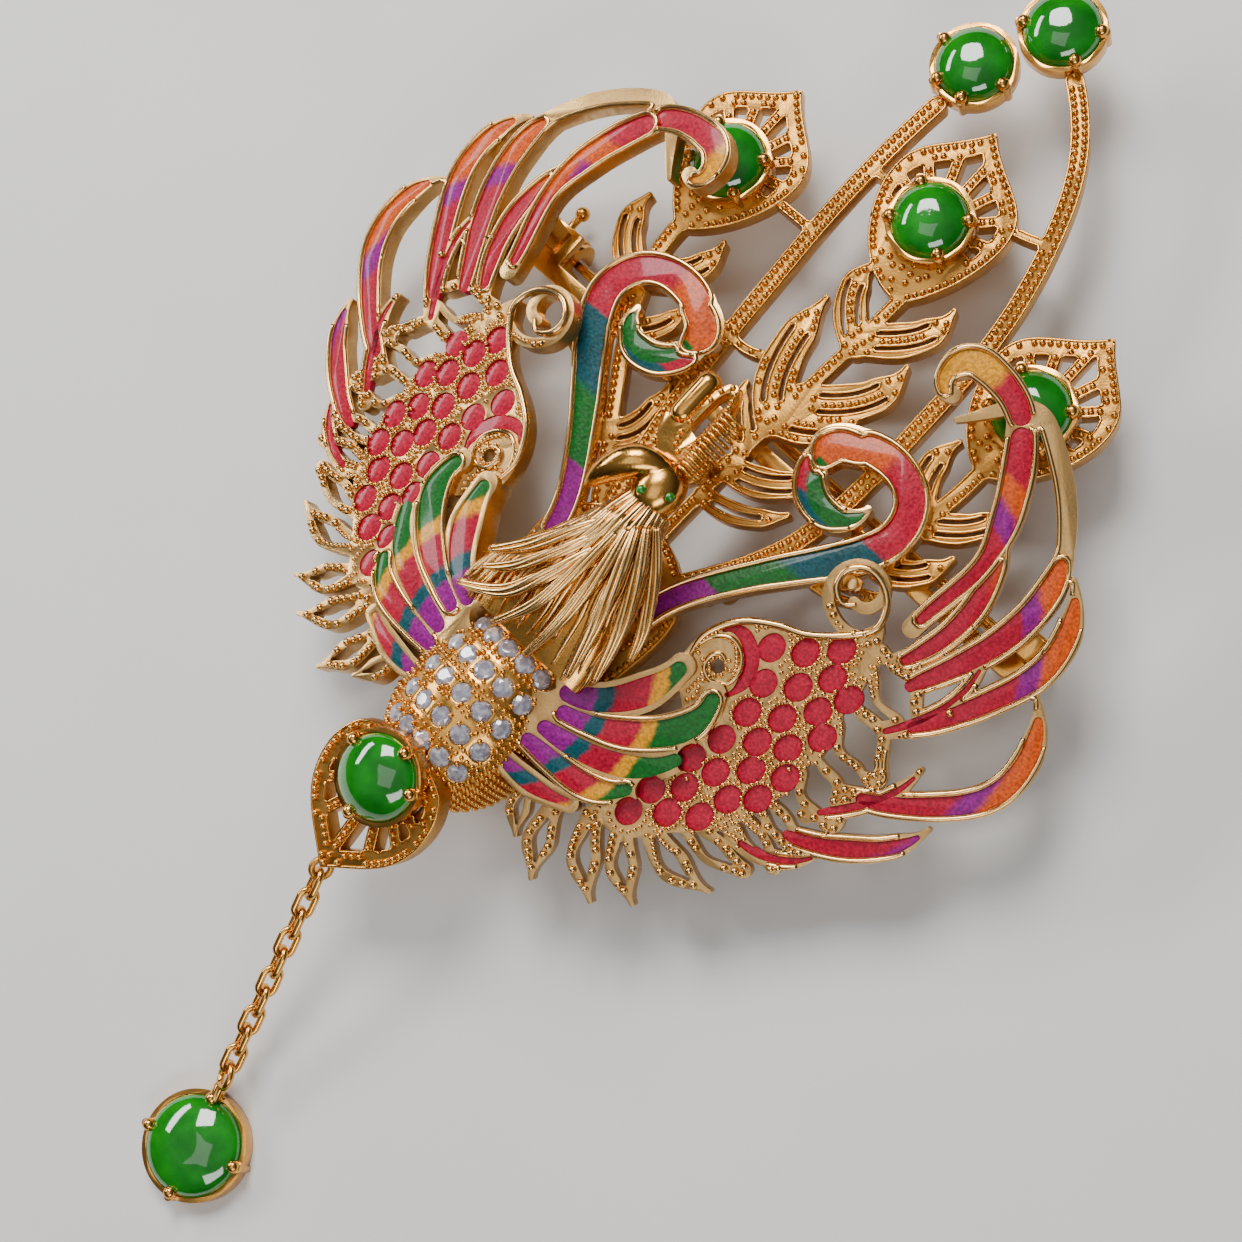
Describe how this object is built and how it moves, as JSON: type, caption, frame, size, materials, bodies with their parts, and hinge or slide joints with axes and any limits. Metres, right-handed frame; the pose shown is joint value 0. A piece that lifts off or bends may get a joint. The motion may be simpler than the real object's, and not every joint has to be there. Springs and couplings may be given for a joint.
{
  "type": "decorative hair pin",
  "caption": "Phoenix-shaped openwork hair pin with enamelled wings, green cabochons, small stones, a swinging chain drop and a hinged pin with a turning catch.",
  "frame": {"origin": "centre of the bounding box in X and Y, on the surface that the pin lies on", "axes": "+Z out of the bird's face, +Y towards the top of the tail fan, +X towards the wing on the viewer's right"},
  "size_m": [0.0558, 0.093, 0.0129],
  "materials": {
    "gold": "polished",
    "pale_gold": "polished",
    "long_feather_enamel": "gloss",
    "scale_enamel": "gloss",
    "covert_enamel": "gloss",
    "plume_enamel": "gloss",
    "green_glass": "gloss",
    "clear_stone": "gloss"
  },
  "bodies": {
    "bird": {"tail_frame": "gold", "middle_tail_feather": "gold", "left_tail_feather": "gold", "right_tail_feather": "gold", "body": "gold", "neck_ruff": "gold", "head": "gold", "crest": "gold", "middle_setting": "gold", "left_setting": "gold", "right_setting": "gold", "left_stem_setting": "gold", "right_stem_setting": "gold", "lower_setting": "gold", "lower_feather": "gold", "back_bar": "gold", "hinge_bracket": "gold", "hinge_rivet": "gold", "catch_base": "gold", "left_wing": "pale_gold", "left_plume": "pale_gold", "left_primary_enamel": "long_feather_enamel", "left_scale_enamel": "scale_enamel", "left_covert_enamel": "covert_enamel", "left_plume_enamel": "plume_enamel", "right_wing": "pale_gold", "right_plume": "pale_gold", "right_primary_enamel": "long_feather_enamel", "right_scale_enamel": "scale_enamel", "right_covert_enamel": "covert_enamel", "right_plume_enamel": "plume_enamel", "middle_cabochon": "green_glass", "left_cabochon": "green_glass", "right_cabochon": "green_glass", "left_stem_cabochon": "green_glass", "right_stem_cabochon": "green_glass", "lower_cabochon": "green_glass", "eye_stones": "green_glass", "pave_stones": "clear_stone"},
    "pin": {"pin_stem": "gold"},
    "rotor": {"catch_rotor": "gold"},
    "link_01": {"chain_link_01": "gold"},
    "link_02": {"chain_link_02": "gold"},
    "link_03": {"chain_link_03": "gold"},
    "link_04": {"chain_link_04": "gold"},
    "link_05": {"chain_link_05": "gold"},
    "link_06": {"chain_link_06": "gold"},
    "link_07": {"chain_link_07": "gold"},
    "link_08": {"chain_link_08": "gold"},
    "link_09": {"chain_link_09": "gold"},
    "link_10": {"chain_link_10": "gold"},
    "drop": {"drop_setting": "gold", "drop_cabochon": "green_glass"}
  },
  "joints": [
    {"name": "pin_hinge", "type": "hinge", "parent": "bird", "child": "pin", "pos_m": [0.0212, 0.0139, 0.0016], "axis": [0, -1, 0], "range_deg": [0, 80]},
    {"name": "catch_turn", "type": "hinge", "parent": "bird", "child": "rotor", "pos_m": [-0.0181, 0.0139, 0.0016], "axis": [-1, 0, 0], "range_deg": [0, 90]},
    {"name": "chain_01", "type": "hinge", "parent": "bird", "child": "link_01", "pos_m": [-0.00035, -0.02499, 0.00544], "axis": [0.6467, 0.3374, -0.6841], "range_deg": [-20, 20]},
    {"name": "chain_02", "type": "hinge", "parent": "link_01", "child": "link_02", "pos_m": [-0.00004, -0.0263, 0.00509], "axis": [0.7293, -0.0111, 0.6841], "range_deg": [-20, 20]},
    {"name": "chain_03", "type": "hinge", "parent": "link_02", "child": "link_03", "pos_m": [0.00027, -0.02761, 0.00473], "axis": [0.6467, 0.3374, -0.6841], "range_deg": [-20, 20]},
    {"name": "chain_04", "type": "hinge", "parent": "link_03", "child": "link_04", "pos_m": [0.00058, -0.02892, 0.00438], "axis": [0.7293, -0.0111, 0.6841], "range_deg": [-20, 20]},
    {"name": "chain_05", "type": "hinge", "parent": "link_04", "child": "link_05", "pos_m": [0.00089, -0.03022, 0.00403], "axis": [0.6467, 0.3374, -0.6841], "range_deg": [-20, 20]},
    {"name": "chain_06", "type": "hinge", "parent": "link_05", "child": "link_06", "pos_m": [0.0012, -0.03153, 0.00368], "axis": [0.7293, -0.0111, 0.6841], "range_deg": [-20, 20]},
    {"name": "chain_07", "type": "hinge", "parent": "link_06", "child": "link_07", "pos_m": [0.00151, -0.03284, 0.00333], "axis": [0.6467, 0.3374, -0.6841], "range_deg": [-20, 20]},
    {"name": "chain_08", "type": "hinge", "parent": "link_07", "child": "link_08", "pos_m": [0.00182, -0.03415, 0.00297], "axis": [0.7293, -0.0111, 0.6841], "range_deg": [-20, 20]},
    {"name": "chain_09", "type": "hinge", "parent": "link_08", "child": "link_09", "pos_m": [0.00213, -0.03546, 0.00262], "axis": [0.6467, 0.3374, -0.6841], "range_deg": [-20, 20]},
    {"name": "chain_10", "type": "hinge", "parent": "link_09", "child": "link_10", "pos_m": [0.00244, -0.03677, 0.00227], "axis": [0.7293, -0.0111, 0.6841], "range_deg": [-20, 20]},
    {"name": "drop_swing", "type": "hinge", "parent": "link_10", "child": "drop", "pos_m": [0.00275, -0.03807, 0.00192], "axis": [0.6467, 0.3374, -0.6841], "range_deg": [-20, 20]}
  ]
}
